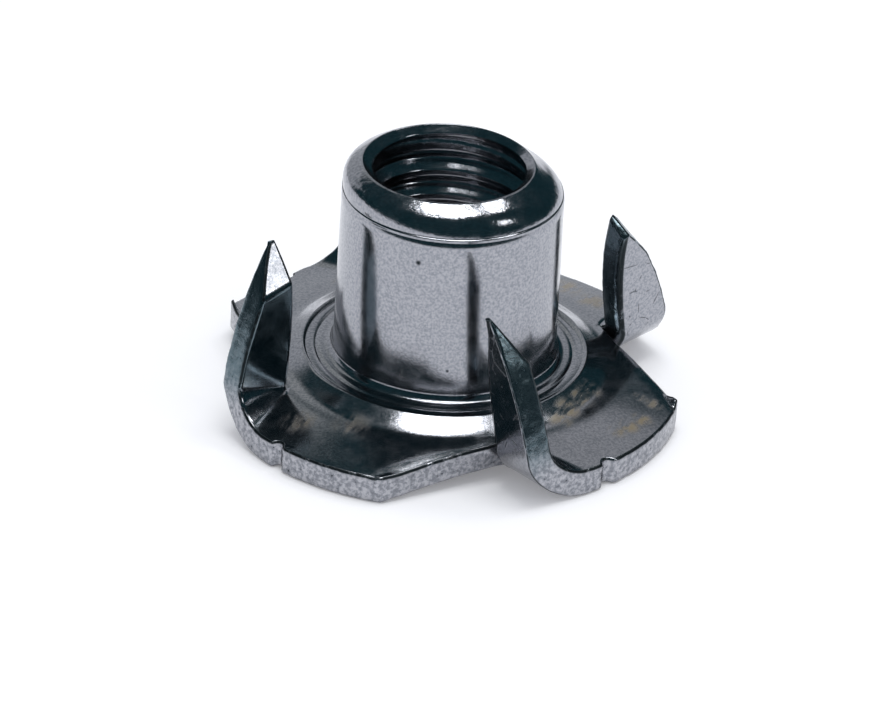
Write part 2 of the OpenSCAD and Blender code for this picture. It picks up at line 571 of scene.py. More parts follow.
    def strip_sides(self, strip: Table) -> tuple[np.ndarray, np.ndarray]:
        """Where the strip's sheared edge and its curved back lie, measured along the slope from the rim.

        Args:
            strip: Rows of the strip.

        Returns:
            Place of the inner and of the outer edge for each row.
        """
        c, s = math.cos(self.slope), math.sin(self.slope)
        root_z = self.dish_h * self.prong_w / (self.rim_r - self.collar_r) + self.rim_h
        tip_x = self.rim_r - self.tip_inset
        lean = (tip_x - self.root[0]) / (self.prong_h - root_z)
        start = np.array([self.rim_r, self.rim_h])
        end = np.array([tip_x, self.prong_h]) + self.tip_w * np.array([1, -math.tan(self.slope)])
        chord = end - start
        side = np.array([-chord[1], chord[0]]) / np.linalg.norm(chord)
        centre = (start + end) / 2 + side * math.sqrt(self.back_r**2 - chord @ chord / 4)
        inner = np.full(len(strip["turn"]), -self.prong_w / c)
        outer = np.zeros(len(strip["turn"]))
        for _ in range(6):
            _, z = self.section(strip, inner, 0.5)
            low = (self.root[0] - self.rim_r - z * s) / c
            leaning = (self.root[0] + lean * (z * c - root_z) - self.rim_r - z * s) / (c + lean * s)
            inner = np.where(z * c - leaning * s < root_z, low, leaning)
            y, z = self.section(strip, outer, 0.5)
            height = z * c - outer * s
            back = centre[0] + np.sqrt(np.clip(self.back_r**2 - (height - centre[1]) ** 2, 0, None))
            outer = (np.minimum(np.sqrt(self.rim_r**2 - y**2), back) - self.rim_r - z * s) / c
        return inner - self.bulge * np.sin(math.pi * strip["up"]), outer

    def ease_in(self, rows: int, reach: float) -> np.ndarray:
        """How far an edge of the strip is rounded back in each row, from nothing at its root."""
        return reach * np.minimum(1, np.arange(rows) / self.ease_rows)

    def prong(self, plan: np.ndarray, strip: Table) -> tuple[np.ndarray, np.ndarray]:
        """Grids of the prong's outer and inner face, beyond the bend line.

        Args:
            plan: Grid of the sector in plan.
            strip: Section of the strip.

        Returns:
            The underside's points and the top's points.
        """
        inner, outer = self.strip_sides(strip)
        fold_line = plan[0, self.inner_rows :]
        share = np.linspace(0, 1, self.outer_rows + 1)
        c, s = math.cos(self.slope), math.sin(self.slope)
        faces = []
        for lift, reach in ((0.0, self.rollover), (1.0, self.edge_r)):
            start = inner + self.ease_in(len(inner), reach)
            width = np.maximum(outer - self.edge_r - start, self.least_w)
            along = start[:, None] + share[None, :] * width[:, None]
            y, z = self.section(strip, along, lift)
            faces.append(np.stack([self.rim_r + along * c + z * s, y, z * c - along * s], -1))
        under, top = faces
        fade = 1 - smooth(np.arange(len(inner)) / self.bend_rows)[:, None, None]
        r = np.linalg.norm(fold_line, axis=1)
        under += fade * (np.concatenate([fold_line, self.under_z(r)[:, None]], -1) - under[0])
        top += fade * (np.concatenate([fold_line, self.top_z(r)[:, None]], -1) - top[0])
        return under[1:], top[1:]

    def wall(self, mesh: GridMesh, tops: np.ndarray, unders: np.ndarray, reach: np.ndarray) -> None:
        """Closes the free outline with a sheared wall, rounded over at its top and underside.

        Args:
            mesh: Mesh that the wall goes to.
            tops: Numbers of the outline's points on the top.
            unders: Numbers of the outline's points on the underside.
            reach: How far the outline stands back on the top and on the underside, for each point.
        """
        points = np.concatenate(mesh.points)
        top, under = points[tops], points[unders]
        along = np.gradient((top + under) / 2, axis=0)
        r_top, r_under = reach[:, :1], reach[:, 1:]
        up = top - under
        for _ in range(2):
            out = np.cross(along, up)
            out /= np.linalg.norm(out, axis=1, keepdims=True)
            out[0], out[-1] = self.root_way, (-self.root_way[1], self.root_way[0], 0.0)
            up = (top + out * r_top) - (under + out * r_under)
        thick = np.linalg.norm(up, axis=1, keepdims=True)
        up = up / thick
        h_top, h_under = np.minimum(r_top, 0.3 * thick), np.minimum(r_under, 0.4 * thick)
        rows, worn, inside = [], [], []
        for turn, mark in self.top_round:
            a = math.radians(turn)
            rows.append(top + out * r_top * math.sin(a) - up * h_top * (1 - math.cos(a)))
            worn.append(mark)
            inside.append(1.0)
        upper, lower = top + out * r_top - up * h_top, under + out * r_under + up * h_under
        for share in self.wall_shares:
            rows.append(upper * (1 - share) + lower * share)
            worn.append(1.0)
            inside.append(1 - share)
        for turn, mark in self.under_round:
            a = math.radians(turn)
            rows.append(under + out * r_under * math.sin(a) + up * h_under * (1 - math.cos(a)))
            worn.append(mark)
            inside.append(0.0)
        grid = np.stack(rows, 1)
        marks: dict[Mark, Any] = {}
        for mark in (Mark.ACROSS, Mark.OUTWARD, Mark.FOLD, Mark.WORN):
            marks[mark] = np.repeat(np.concatenate(mesh.marks[mark])[tops][:, None], grid.shape[1], 1)
        marks[Mark.SHEARED] = np.broadcast_to(np.array(worn), grid.shape[:2])
        marks[Mark.INSIDE] = np.broadcast_to(np.array(inside), grid.shape[:2])
        numbers = mesh.add(grid, marks)
        mesh.skin(np.concatenate([tops[:, None], numbers, unders[:, None]], 1))

    def build(self) -> bpy.types.Mesh:
        """Makes the quarter.

        Returns:
            Its mesh in millimetres, with the bend line along +x.
        """
        mesh = GridMesh()
        plan = self.plan()
        r = np.linalg.norm(plan, axis=-1)
        u = np.linspace(0, 1, self.columns + 1)[:, None] + 0 * r
        out = np.clip(np.arange(self.rows + 1) - self.inner_rows, 0, None) / self.outer_rows + 0 * r
        marks = {Mark.ACROSS: u, Mark.OUTWARD: out}
        top_z = self.top_z(r) - self.roll_h * np.clip(1 - self.from_chord(plan) / self.roll_w, 0, 1) ** 2
        top = mesh.add(np.concatenate([plan, top_z[..., None]], -1), {**marks, Mark.INSIDE: 1.0})
        under = mesh.add(np.concatenate([plan, self.under_z(r)[..., None]], -1), marks)
        mesh.skin(top)
        mesh.skin(under, turned=True)
        strip = self.strip()
        prong_under, prong_top = self.prong(plan, strip)
        across = np.ones(self.outer_rows + 1)
        blade_marks: dict[Mark, Any] = {Mark.FOLD: np.outer(strip["share"][1:], across)}
        blade_marks[Mark.WORN] = np.outer(strip["worn"][1:], across)
        blade_marks[Mark.OUTWARD] = np.repeat(out[:1, self.inner_rows :], len(prong_top), 0)
        blade_top = mesh.add(prong_top, {**blade_marks, Mark.INSIDE: 1.0})
        blade_top = np.concatenate([top[:1, self.inner_rows :], blade_top])
        blade_under = np.concatenate([under[:1, self.inner_rows :], mesh.add(prong_under, blade_marks)])
        mesh.skin(blade_top, turned=True)
        mesh.skin(blade_under)
        outline = []
        for flange, blade in ((top, blade_top), (under, blade_under)):
            blade_edge = [blade[:, 0], blade[-1, 1:], blade[-2:0:-1, -1]]
            flange_edge = [flange[:, -1], flange[-1, -2 : self.inner_rows - 1 : -1]]
            outline.append(np.concatenate(blade_edge + flange_edge))
        self.wall(mesh, outline[0], outline[1], self.outline_reach(len(outline[0])))
        self.barrel_share(mesh, top[:, 0], under[:, 0])
        return mesh.to_mesh("pressing_quarter")

    def outline_reach(self, amount: int) -> np.ndarray:
        """How far the outline stands back from the sheared edge on the top and on the underside.

        Args:
            amount: Number of points of the outline.

        Returns:
            Two lengths for each point; both close to nothing where the shears stopped.
        """
        rows = self.bend_rows + self.blade_rows + 1
        reach = np.full((amount, 2), self.edge_r)
        reach[:rows, 0] = self.ease_in(rows, self.edge_r)
        reach[:rows, 1] = self.ease_in(rows, self.rollover)
        reach[rows : rows + self.outer_rows] = self.tip_edge * self.edge_r
        chord = self.edge_r * smooth(np.linspace(1, 0, self.outer_rows + 1) / self.cut_ease)
        reach[-len(chord) :] = chord[:, None]
        return np.maximum(reach, self.least_edge)

    def barrel_share(self, mesh: GridMesh, top: np.ndarray, under: np.ndarray) -> None:
        """Turns the barrel's profile through the quarter and joins it to the flange.

        Args:
            mesh: Mesh that the barrel goes to.
            top: Numbers of the flange's inner points on its top.
            under: Numbers of the flange's inner points on its underside.
        """
        parts = [self.barrel.outside(), self.barrel.lip(), self.barrel.bore(), self.barrel.under()]
        profile = np.array([point for part in parts for point in part])
        in_bore = np.concatenate([np.full(len(part), float(n == 2)) for n, part in enumerate(parts)])
        turn = self.root_turn + np.linspace(0, math.pi / 2, self.columns + 1)[:, None]
        r, z = profile.T
        grid = np.stack([r * np.cos(turn), r * np.sin(turn), z + 0 * turn], -1)
        numbers = mesh.add(grid, {Mark.BORE: np.broadcast_to(in_bore, grid.shape[:2])})
        mesh.skin(np.concatenate([top[:, None], numbers, under[:, None]], 1), turned=True)


@dataclass
class ThreadedRound:
    """Geometry Nodes that repeat the quarter round the axis and cut the thread into the bore."""

    count: int = 4
    bearing_deg: float = 40.0
    weld: float = 0.002
    pitch: float = 1.25
    depth: float = 0.56
    crest: float = 0.16
    root: float = 0.96
    low_z: float = 2.0
    high_z: float = 11.28
    run_out: float = 0.45
    start: float = 0.18
    blunt: float = 0.06
    soft: float = 0.12

    def inputs(self) -> dict[str, tuple[str, Any]]:
        """Names the tree's inputs.

        Returns:
            Kind and value of each input, by its name.
        """
        number = "NodeSocketFloat"
        return {
            "Prongs": ("NodeSocketInt", self.count),
            "Bearing": (number, math.radians(self.bearing_deg)),
            "Weld distance": (number, self.weld),
            "Thread pitch": (number, self.pitch),
            "Thread depth": (number, self.depth),
            "Crest share": (number, self.crest),
            "Root share": (number, self.root),
            "Thread low end": (number, self.low_z),
            "Thread high end": (number, self.high_z),
            "Run-out": (number, self.run_out),
            "Thread start": (number, self.start),
        }

    def tree(self, material: bpy.types.Material) -> bpy.types.NodeTree:
        """Builds the node tree.

        Args:
            material: Finish that the tree sets at its end.

        Returns:
            The tree.
        """
        tree = bpy.data.node_groups.new("repeat_and_tap", "GeometryNodeTree")
        tree.interface.new_socket("Geometry", in_out="INPUT", socket_type="NodeSocketGeometry")
        for name, (kind, value) in self.inputs().items():
            tree.interface.new_socket(name, in_out="INPUT", socket_type=kind).default_value = value
        tree.interface.new_socket("Geometry", in_out="OUTPUT", socket_type="NodeSocketGeometry")
        bench = NodeBench(tree)
        given = bench.node("NodeGroupInput").outputs
        tapped = self.tap(bench, given, self.repeat(bench, given))
        real = bench.node("GeometryNodeRealizeInstances", {"Geometry": tapped})
        dressed = bench.node("GeometryNodeSetMaterial", {"Geometry": real.outputs[0], "Material": material})
        bench.node("NodeGroupOutput", {0: dressed.outputs[0]})
        return tree

    def repeat(self, bench: NodeBench, given: Any) -> Socket:
        """Sets the quarter at each bend line and welds the seams.

        Args:
            bench: Bench of the tree.
            given: The tree's inputs.

        Returns:
            Socket of the whole pressing.
        """
        points = bench.node("GeometryNodePoints", {"Count": given["Prongs"]})
        index = bench.node("GeometryNodeInputIndex").outputs[0]
        step = bench.math("DIVIDE", math.tau, given["Prongs"])
        turn = bench.math("MULTIPLY_ADD", index, step, given["Bearing"])
        euler = bench.node("ShaderNodeCombineXYZ", {"Z": turn})
        rotation = bench.node("FunctionNodeEulerToRotation", {0: euler.outputs[0]})
        placed = bench.node(
            "GeometryNodeInstanceOnPoints",
            {"Points": points.outputs[0], "Instance": given["Geometry"], "Rotation": rotation.outputs[0]},
        )
        named = bench.node(
            "GeometryNodeStoreNamedAttribute",
            {"Geometry": placed.outputs[0], "Name": "quarter", "Value": index},
            data_type="FLOAT",
            domain="INSTANCE",
        )
        real = bench.node("GeometryNodeRealizeInstances", {"Geometry": named.outputs[0]})
        seams = {"Geometry": real.outputs[0], "Distance": given["Weld distance"]}
        return bench.node("GeometryNodeMergeByDistance", seams).outputs[0]

    def tap(self, bench: NodeBench, given: Any, whole: Socket) -> Socket:
        """Moves the bore's wall outwards along a right-hand helix.

        Args:
            bench: Bench of the tree.
            given: The tree's inputs.
            whole: Socket of the whole pressing.

        Returns:
            Socket of the tapped pressing.
        """
        place = bench.node("GeometryNodeInputPosition").outputs[0]
        parts = bench.node("ShaderNodeSeparateXYZ", {0: place}).outputs
        turn = bench.math("DIVIDE", bench.math("ARCTAN2", parts["Y"], parts["X"]), math.tau)
        climb = bench.math("DIVIDE", parts["Z"], given["Thread pitch"])
        climb = bench.math("ADD", climb, given["Thread start"])
        phase = bench.math("FRACT", bench.math("SUBTRACT", climb, turn))
        rise = bench.math("ABSOLUTE", bench.math("MULTIPLY_ADD", phase, 2.0, -1.0))
        span = bench.math("SUBTRACT", given["Root share"], given["Crest share"])
        ramp = bench.math("DIVIDE", bench.math("SUBTRACT", rise, given["Crest share"]), span, clamp=True)
        flank = bench.math("SMOOTH_MAX", ramp, self.blunt, self.soft)
        flank = bench.math("SMOOTH_MIN", flank, 1 - self.blunt, self.soft)
        from_low = bench.math("SUBTRACT", parts["Z"], given["Thread low end"])
        from_low = bench.math("DIVIDE", from_low, given["Run-out"], clamp=True)
        to_high = bench.math("SUBTRACT", given["Thread high end"], parts["Z"])
        to_high = bench.math("DIVIDE", to_high, given["Run-out"], clamp=True)
        ends = bench.math("MULTIPLY", from_low, to_high)
        bore = bench.node("GeometryNodeInputNamedAttribute", {"Name": Mark.BORE.value}, data_type="FLOAT")
        share = bench.math("MULTIPLY", ends, bore.outputs[0])
        cut = bench.math("MULTIPLY", bench.math("MULTIPLY", flank, given["Thread depth"]), share)
        flat = bench.node("ShaderNodeCombineXYZ", {"X": parts["X"], "Y": parts["Y"]}).outputs[0]
        away = bench.node("ShaderNodeVectorMath", {0: flat}, operation="NORMALIZE").outputs[0]
        scaled = bench.node("ShaderNodeVectorMath", {0: away, "Scale": cut}, operation="SCALE").outputs[0]
        return bench.node("GeometryNodeSetPosition", {"Geometry": whole, "Offset": scaled}).outputs[0]

    def apply(self, quarter: bpy.types.Mesh, material: bpy.types.Material) -> bpy.types.Mesh:
        """Runs the tree on a quarter.

        Args:
            quarter: Mesh of the quarter.
            material: Finish of the whole.

        Returns:
            Plain mesh of the whole nut, in millimetres.
        """
        bench_object = bpy.data.objects.new("pressing_bench", quarter)
        bpy.context.scene.collection.objects.link(bench_object)
        modifier = bench_object.modifiers.new("repeat_and_tap", "NODES")
        modifier.node_group = self.tree(material)
        values = self.inputs()
        for item in modifier.node_group.interface.items_tree:
            if item.in_out == "INPUT" and item.name in values:
                modifier[item.identifier] = values[item.name][1]
        graph = bpy.context.evaluated_depsgraph_get()
        whole = bpy.data.meshes.new_from_object(bench_object.evaluated_get(graph))
        bench_object.modifiers.remove(modifier)
        bpy.data.objects.remove(bench_object)
        return whole


@dataclass(frozen=True)
class ProngSet:
    """How one prong and the corner beside it differ from the pattern, in degrees and millimetres."""

    turn_deg: float = 0.0
    tip_out: float = 0.0
    tip_round: float = 0.0
    tip_blunt: float = 0.0
    tip_slant: float = 0.0
    tip_rise: float = 0.0
    lift: float = 0.0
    corner_deg: float = 0.0
    corner_in: float = 0.0
    corner_lift: float = 0.0
    burr: float = 0.3


@dataclass
class Handwork:
    """Uneven set of the prongs, burrs at the corners and the torn grain of the sheared walls."""

    pressing: Pressing
    bearing_deg: float
    sets: dict[Quarter, ProngSet]
    rim_shift: tuple[float, float] = (0.12, 0.0)
    # Mouth: its set off the axis, its rise, and its drop on one side
    lip_low: float = 10.3
    lip_span: float = 1.1
    lip_shift: float = -0.27
    lip_rise: float = 0.27
    lip_drop: float = 0.22
    drop_deg: float = 25.0
    drop_from_r: float = 3.7
    drop_span: float = 0.9
    # Sheared walls: how deep they are torn, and the waves of the tear in a millimetre
    tear: float = 0.03
    coarse_waves: float = 2.6
    fine_waves: float = 6.5
    # Reach of a turned prong before and past its bend line, with the easing of each end
    turn_before_deg: float = 88.0
    before_ease_deg: float = 26.0
    turn_past_deg: float = 36.0
    turn_in: float = 1.2
    # Height that a prong leans from, share of a sector that its lift takes along, and place of the burrs
    lean_from: float = 1.5
    lift_share: float = 0.5
    burr_across: float = 0.955
    burr_outward: float = 0.86
    burr_low: float = 0.7

    def apply(self, mesh: bpy.types.Mesh) -> None:
        """Moves the points of the whole nut.

        Args:
            mesh: Mesh in millimetres, with its marks.
        """
        amount = len(mesh.vertices)
        points = np.zeros(amount * 3)
        mesh.vertices.foreach_get("co", points)
        points = points.reshape(-1, 3)
        marks = {name: self.read(mesh, name) for name in [mark.value for mark in Mark] + ["quarter"]}
        normals = np.zeros(amount * 3, np.float32)
        mesh.vertex_normals.foreach_get("vector", normals)
        self.tear_walls(points, normals.reshape(-1, 3), marks)
        quarter = np.round(marks["quarter"]).astype(int)
        self.turn_stations(points, marks["fold"] > 0)
        for which, prong in self.sets.items():
            chosen = quarter == which.value
            own_marks = {name: value[chosen] for name, value in marks.items()}
            self.set_prong(points, own_marks, chosen, which, prong)
        self.lean_lip(points)
        shift = np.array([*self.rim_shift, 0.0])
        points += shift * np.maximum(marks["outward"], smooth(marks["fold"] * 4))[:, None]
        mesh.vertices.foreach_set("co", points.reshape(-1))
        mesh.update()

    @staticmethod
    def read(mesh: bpy.types.Mesh, name: str) -> np.ndarray:
        """Reads a point attribute.

        Args:
            mesh: Mesh that carries it.
            name: Name of the attribute.

        Returns:
            Its value at each point.
        """
        values = np.zeros(len(mesh.vertices), np.float32)
        mesh.attributes[name].data.foreach_get("value", values)
        return values.astype(float)

    def tear_walls(self, points: np.ndarray, normals: np.ndarray, marks: Table) -> None:
        """Roughens the sheared walls.

        Args:
            points: Places of all points.
            normals: Their normals.
            marks: Their marks.
        """
        for n in np.nonzero(marks["sheared"] > 0.2)[0]:
            place = Vector(points[n])
            coarse = noise.noise(place * self.coarse_waves)
            fine = noise.noise(place * self.fine_waves + Vector((7.0, 3.0, 1.0)))
            points[n] += normals[n] * self.tear * marks["sheared"][n] * (0.9 * coarse + 0.8 * fine)

    def turn_stations(self, points: np.ndarray, on_prong: np.ndarray) -> None:
        """Turns each prong together with its root and the corner across its cut.

        Args:
            points: Places of all points.
            on_prong: Which points belong to a prong.
        """
        bearing = np.degrees(np.arctan2(points[:, 1], points[:, 0]))
        r = np.linalg.norm(points[:, :2], axis=1)
        free = np.where(on_prong, 1.0, smooth((r - self.pressing.collar_r) / self.turn_in))
        turn = np.zeros(len(points))
        for which, prong in self.sets.items():
            past = (bearing - self.bearing_deg - 90 * which.value + 180) % 360 - 180
            before = smooth((past + self.turn_before_deg) / self.before_ease_deg)
            after = smooth((self.turn_past_deg - past) / self.turn_past_deg)
            turn += math.radians(prong.turn_deg) * before * after * free
        turn_round(points, turn)

    def lean_lip(self, points: np.ndarray) -> None:
        """Sets the mouth off the axis and rounds the lip down on its far right.

        Args:
            points: Places of all points.
        """
        high = smooth((points[:, 2] - self.lip_low) / self.lip_span)
        turn = np.arctan2(points[:, 1], points[:, 0]) - math.radians(self.drop_deg)
        outside = smooth((np.linalg.norm(points[:, :2], axis=1) - self.drop_from_r) / self.drop_span)
        points[:, 0] += self.lip_shift * high
        points[:, 2] -= self.lip_drop * high * outside * np.clip(np.cos(turn), 0, None) ** 2
        points[:, 2] += self.lip_rise * high

    def set_prong(
        self, points: np.ndarray, marks: Table, chosen: np.ndarray, which: Quarter, prong: ProngSet
    ) -> None:
        """Turns and leans one prong, and moves and burrs the corner of its sector.

        Args:
            points: Places of all points.
            marks: Marks of the chosen points.
            chosen: Which points belong to the quarter.
            which: The quarter.
            prong: Its differences.
        """
        bearing = math.radians(self.bearing_deg + 90 * which.value + prong.turn_deg)
        part = points[chosen]
        out_way = np.array([math.cos(bearing), math.sin(bearing), 0.0])
        round_way = np.array([-math.sin(bearing), math.cos(bearing), 0.0])
        on_prong = marks["fold"] > 0
        corner = marks["across"] ** 2 * smooth(marks["outward"] * 1.2) * ~on_prong
        turn_round(part, math.radians(prong.corner_deg) * corner)
        span = self.pressing.prong_h - self.lean_from
        height = np.clip((part[:, 2] - self.lean_from) / span, 0, None) * on_prong
        part += height[:, None] * (prong.tip_out * out_way + prong.tip_round * round_way)
        part[:, 2] += height * prong.tip_rise
        lost = (self.pressing.sheet_t - self.pressing.tip_t) * marks["worn"]
        part += (prong.tip_blunt * lost * marks["inside"])[:, None] * self.blade_normal(bearing)
        part[:, 2] -= prong.tip_slant * marks["worn"] * (1 - marks["inside"])
        beside = (1 - np.clip(marks["across"] / self.lift_share, 0, 1)) ** 2
        part[:, 2] += prong.lift * marks["outward"] * np.where(on_prong, 1.0, beside)
        radius = np.linalg.norm(part[:, :2], axis=1, keepdims=True)
        part[:, :2] -= (part[:, :2] / radius) * (prong.corner_in * corner)[:, None]
        tip = smooth((marks["across"] - self.burr_across) / (1 - self.burr_across)) * ~on_prong
        tip = tip * smooth((marks["outward"] - self.burr_outward) / (1 - self.burr_outward))
        part[:, 2] += prong.burr * tip * (part[:, 2] > self.burr_low) + prong.corner_lift * corner
        points[chosen] = part

    def blade_normal(self, bearing: float) -> np.ndarray:
        """Way that the inner face of a prong looks.

        Args:
            bearing: Bearing of the prong's bend line.

        Returns:
            The normal.
        """
        fold, slope = math.radians(self.pressing.fold_deg), self.pressing.slope
        out, around, up = math.cos(fold) * math.sin(slope), math.sin(fold), math.cos(fold) * math.cos(slope)
        c, s = math.cos(bearing), math.sin(bearing)
        return np.array([out * c - around * s, out * s + around * c, up])


@dataclass(frozen=True)
class Stain:
    """A soft patch of tan film, by its centre and reach in millimetres."""

    centre: Place
    reach: float
    strength: float


@dataclass(frozen=True)
class SteelMasks:
    """Node sockets that say where each finish of the steel and the painted shade lie, and the noises that
    break it up.
    """

    place: Socket
    sheared: Socket
    torn: Socket
    outer_face: Socket
    shade: Socket
    film: Socket
    marked: Socket
    grain: Socket
    mottle: Socket
    torn_cloud: Socket


@dataclass(frozen=True)
class PlatedSteel:
    """Bright plated sheet steel, mottled, with torn sheared edges, pits and tan film, and painted shade on
    the prongs' inner faces and walls.
    """

    colour: Colour = (0.40, 0.405, 0.435)
    dull: Colour = (0.255, 0.27, 0.30)
    torn: Colour = (0.43, 0.435, 0.465)
    torn_dull: Colour = (0.215, 0.225, 0.25)
    speck: Colour = (0.03, 0.038, 0.042)
    film: Colour = (0.36, 0.28, 0.16)
    # Painted shade: dark teal standing in for the dark room mirrored by the prongs' inner faces and walls
    painted_shade: Colour = (0.075, 0.13, 0.15)
    roughness: float = 0.15
    torn_roughness: float = 0.24
    # Noises, in waves to a metre
    grain_waves: float = 8500.0
    mottle_waves: float = 1500.0
    torn_waves: float = 5200.0
    crack_waves: float = 900.0
    film_waves: float = 2600.0
    # Way that the film is wiped, its stretch, and the height that the lip's dents begin at
    film_turn: float = 1.17
    film_stretch: float = 3.5
    lip_z: tuple[float, float] = (0.0104, 0.0108)
    relief: float = 0.00002
    stains: tuple[Stain, ...] = (
        Stain((6.7, -2.7, 2.1), 0.8, 0.6),
        Stain((6.2, -3.5, 2.0), 0.9, 0.7),
        Stain((5.7, -4.5, 2.0), 0.9, 0.7),
        Stain((5.4, -5.4, 1.9), 0.8, 0.6),
        Stain((9.1, -4.2, 1.5), 0.7, 0.75),
        Stain((8.5, -4.9, 1.5), 0.7, 0.75),
        Stain((8.0, -5.5, 1.5), 0.6, 0.6),
        Stain((9.6, -2.7, 1.5), 0.6, 0.6),
        Stain((9.0, -2.4, 1.6), 0.5, 0.45),
        Stain((5.4, 7.8, 1.6), 1.3, 0.6),
        Stain((6.8, 6.4, 1.6), 1.2, 0.5),
        Stain((-6.3, -6.5, 1.7), 1.1, 0.45),
        Stain((-3.9, -6.9, 1.9), 1.2, 0.35),
        Stain((-4.6, 6.4, 1.9), 1.0, 0.4),
    )
    pits: tuple[tuple[float, float, float, float], ...] = (
        (-1.35, -4.82, 9.2, 0.17),
        (-5.7, -2.2, 3.0, 0.2),
        (0.2, -5.05, 3.9, 0.09),
    )

    def make(self) -> bpy.types.Material:
        """Builds the material.

        Returns:
            The material.
        """
        material = bpy.data.materials.new("plated_steel")
        bench = NodeBench.cleared(material)
        masks = self.masks(bench)
        dents = {"Strength": 0.6, "Distance": self.relief, "Height": self.height(bench, masks)}
        inputs = {
            "Base Color": self.base_colour(bench, masks),
            "Metallic": bench.math("MULTIPLY_ADD", masks.film, -0.45, 1.0),
            "Roughness": self.dullness(bench, masks),
            "Normal": bench.node("ShaderNodeBump", dents).outputs[0],
        }
        shader = bench.node("ShaderNodeBsdfPrincipled", inputs)
        bench.node("ShaderNodeOutputMaterial", {"Surface": shader.outputs[0]})
        return material

    def masks(self, bench: NodeBench) -> SteelMasks:
        """Works out where each finish lies.

        Args:
            bench: Bench of the material.

        Returns:
            The masks.
        """
        place = bench.node("ShaderNodeTexCoord").outputs["Object"]
        sheared, fold, inside, worn = (
            bench.node("ShaderNodeAttribute", attribute_name=mark.value).outputs["Fac"]
            for mark in (Mark.SHEARED, Mark.FOLD, Mark.INSIDE, Mark.WORN)
        )
        grain = bench.cloud(place, self.grain_waves, 2.0)
        mottle = bench.cloud(place, self.mottle_waves, 4.0)
        torn_cloud = bench.cloud(place, self.torn_waves, 4.0)
        # Torn walls, the prongs' outer faces, and painted shade on their inner faces and walls, where dark
        # reflections of the room are painted into the colour
        torn = bench.ease(sheared, 0.6, 1.0)
        outer_face = bench.math("MULTIPLY", bench.ease(fold, 0.3, 0.45), bench.ease(inside, 0.6, 0.2))
        shade = bench.math("MULTIPLY", bench.ease(inside, 0.6, 0.95), bench.ease(worn, 0.05, 0.0))
        on_blade = bench.ease(fold, 0.2, 0.5, 0.0, 0.75)
        shade = bench.math("MULTIPLY", bench.math("MAXIMUM", shade, sheared), on_blade)
        # Dark marks: specks in the torn walls, dark lines painted along the rounded edges of the sheared
        # walls, cracks and pits
        speck = bench.math("MULTIPLY", bench.ease(torn_cloud, 0.64, 0.74), bench.math("MULTIPLY", torn, 0.8))
        edge = bench.math("MULTIPLY", bench.ease(sheared, 0.05, 0.3), bench.ease(sheared, 0.95, 0.6))
        edge = bench.math("MULTIPLY", edge, bench.ease(mottle, 0.32, 0.5))
        cells = {"Vector": place, "Scale": self.crack_waves}
        cracks = bench.node("ShaderNodeTexVoronoi", cells, feature="DISTANCE_TO_EDGE").outputs[0]
        cracks = bench.math("MULTIPLY", bench.ease(cracks, 0.05, 0.0), bench.ease(mottle, 0.5, 0.62))
        cracks = bench.math("MULTIPLY", cracks, outer_face)
        marked = bench.math("MAXIMUM", bench.math("MAXIMUM", speck, edge), self.pit_mask(bench, place))
        marked = bench.math("MAXIMUM", marked, bench.math("MULTIPLY", cracks, 0.7))
        film = self.film_mask(bench, place)
        return SteelMasks(place, sheared, torn, outer_face, shade, film, marked, grain, mottle, torn_cloud)

    def base_colour(self, bench: NodeBench, masks: SteelMasks) -> Socket:
        """Mixes the colours of the finishes and of the painted shade.

        Args:
            bench: Bench of the material.
            masks: Where each finish lies.

        Returns:
            The colour's socket.
        """
        colour = bench.mix(bench.ease(masks.grain, 0.3, 0.66), self.dull, self.colour)
        colour = bench.mix(masks.film, colour, self.film)
        torn = bench.mix(bench.ease(masks.torn_cloud, 0.62, 0.36), self.torn_dull, self.torn)
        colour = bench.mix(masks.torn, colour, torn)
        # Painted shade: the prongs' inner faces and walls are darkened to stand in for the dark reflections
        # they mirror
        colour = bench.mix(masks.shade, colour, self.painted_shade)
        return bench.mix(masks.marked, colour, self.speck)

    def dullness(self, bench: NodeBench, masks: SteelMasks) -> Socket:
        """Roughness of the steel: more on torn walls, film and marks.

        Args:
            bench: Bench of the material.
            masks: Where each finish lies.

        Returns:
            The roughness's socket.
        """
        rough = bench.ease(masks.mottle, 0.3, 0.7, self.roughness - 0.03, self.roughness + 0.04)
        more = bench.math("SUBTRACT", self.torn_roughness, rough)
        rough = bench.math("MULTIPLY_ADD", masks.sheared, more, rough)
        return bench.math("MULTIPLY_ADD", bench.math("MAXIMUM", masks.film, masks.marked), 0.3, rough)

    def height(self, bench: NodeBench, masks: SteelMasks) -> Socket:
        """Fine relief: the grain, torn walls, dents of the lip and marks.

        Args:
            bench: Bench of the material.
            masks: Where each finish lies.

        Returns:
            The height's socket.
        """
        rough_face = bench.math("MAXIMUM", masks.sheared, masks.outer_face)
        lip = bench.ease(bench.node("ShaderNodeSeparateXYZ", {0: masks.place}).outputs["Z"], *self.lip_z)
        height = bench.math("MULTIPLY", masks.grain, 0.12)
        height = bench.math("MULTIPLY_ADD", masks.mottle, 0.2, height)
        height = bench.math("MULTIPLY_ADD", bench.math("MULTIPLY", masks.torn_cloud, rough_face), 0.9, height)
        height = bench.math("MULTIPLY_ADD", bench.math("MULTIPLY", masks.mottle, lip), 2.2, height)
        return bench.math("MULTIPLY_ADD", masks.marked, -0.8, height)

    @staticmethod
    def near(bench: NodeBench, place: Socket, centre: Place, reach: float) -> Socket:
        """Soft ball of 1 at a centre that falls to 0 at its reach.

        Args:
            bench: Bench of the material.
            place: Coordinates.
            centre: Centre in millimetres.
            reach: Radius in millimetres.

        Returns:
            The ball's socket.
        """
        point = tuple(MM * value for value in centre)
        away = bench.node("ShaderNodeVectorMath", {0: place, 1: point}, operation="DISTANCE").outputs["Value"]
        return bench.ease(away, reach * MM, 0.25 * reach * MM)

